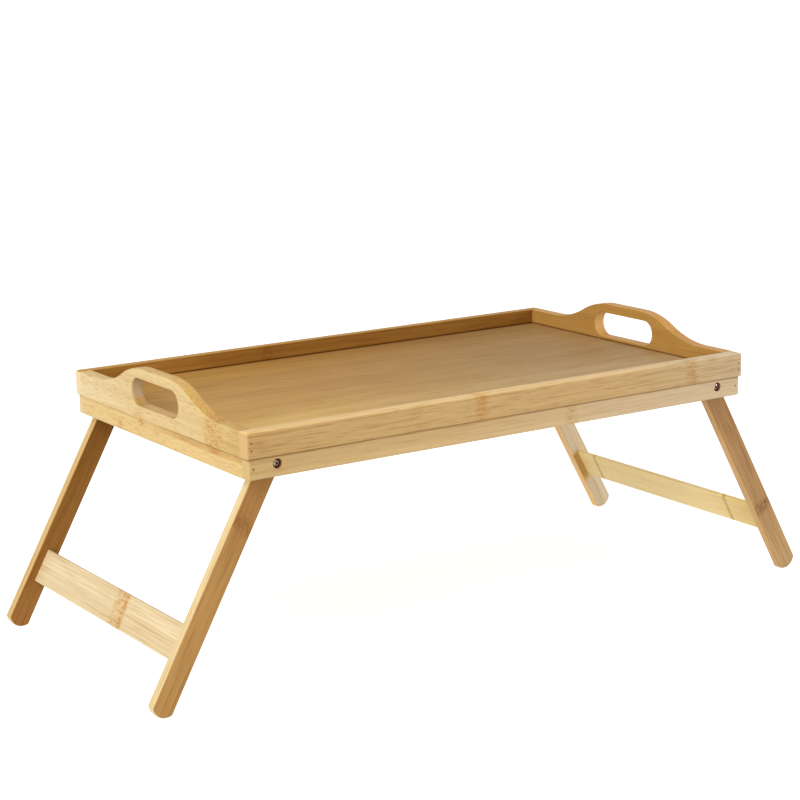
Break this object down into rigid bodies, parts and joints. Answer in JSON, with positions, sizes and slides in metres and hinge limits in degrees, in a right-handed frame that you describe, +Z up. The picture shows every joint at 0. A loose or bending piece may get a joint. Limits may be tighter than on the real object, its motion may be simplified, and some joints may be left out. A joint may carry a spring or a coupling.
{
  "type": "bed tray table",
  "caption": "Shallow rectangular bamboo tray with a humped hand hold at each end, on folding leg pairs that splay out to stand over a lap and swing in flat under the panel.",
  "frame": {"origin": "on the floor, under the centre of the tray, with the legs open", "axes": "+X along the tray's length towards its right end, +Y across it to the back, +Z up"},
  "size_m": [0.662, 0.3, 0.2343],
  "materials": {
    "rail_bamboo": "satin lacquered bamboo",
    "panel_bamboo": "satin lacquered bamboo sheet",
    "apron_bamboo": "satin lacquered bamboo",
    "leg_bamboo": "satin lacquered bamboo",
    "screw_steel": "plated",
    "nut_steel": "plated",
    "brad_steel": "plain"
  },
  "bodies": {
    "tray": {"front_rail": "rail_bamboo", "back_rail": "rail_bamboo", "left_handle_board": "rail_bamboo", "right_handle_board": "rail_bamboo", "tray_panel": "panel_bamboo", "front_apron": "apron_bamboo", "back_apron": "apron_bamboo", "left_apron": "apron_bamboo", "right_apron": "apron_bamboo", "rail_brads": "brad_steel", "apron_brads": "brad_steel"},
    "left_legs": {"left_front_leg": "leg_bamboo", "left_back_leg": "leg_bamboo", "left_crossbar": "leg_bamboo", "left_front_pivot_screw": "screw_steel", "left_back_pivot_screw": "screw_steel", "left_front_washer": "nut_steel", "left_back_washer": "nut_steel", "left_front_lock_nut": "nut_steel", "left_back_lock_nut": "nut_steel"},
    "right_legs": {"right_front_leg": "leg_bamboo", "right_back_leg": "leg_bamboo", "right_crossbar": "leg_bamboo", "right_front_pivot_screw": "screw_steel", "right_back_pivot_screw": "screw_steel", "right_front_washer": "nut_steel", "right_back_washer": "nut_steel", "right_front_lock_nut": "nut_steel", "right_back_lock_nut": "nut_steel"}
  },
  "joints": [
    {"name": "left_leg_fold", "type": "hinge", "parent": "tray", "child": "left_legs", "pos_m": [-0.22275, 0, 0.18562], "axis": [0, -1, 0], "range_deg": [0, 119.1]},
    {"name": "right_leg_fold", "type": "hinge", "parent": "tray", "child": "right_legs", "pos_m": [0.22275, 0, 0.18562], "axis": [0, 1, 0], "range_deg": [0, 119.1]}
  ]
}
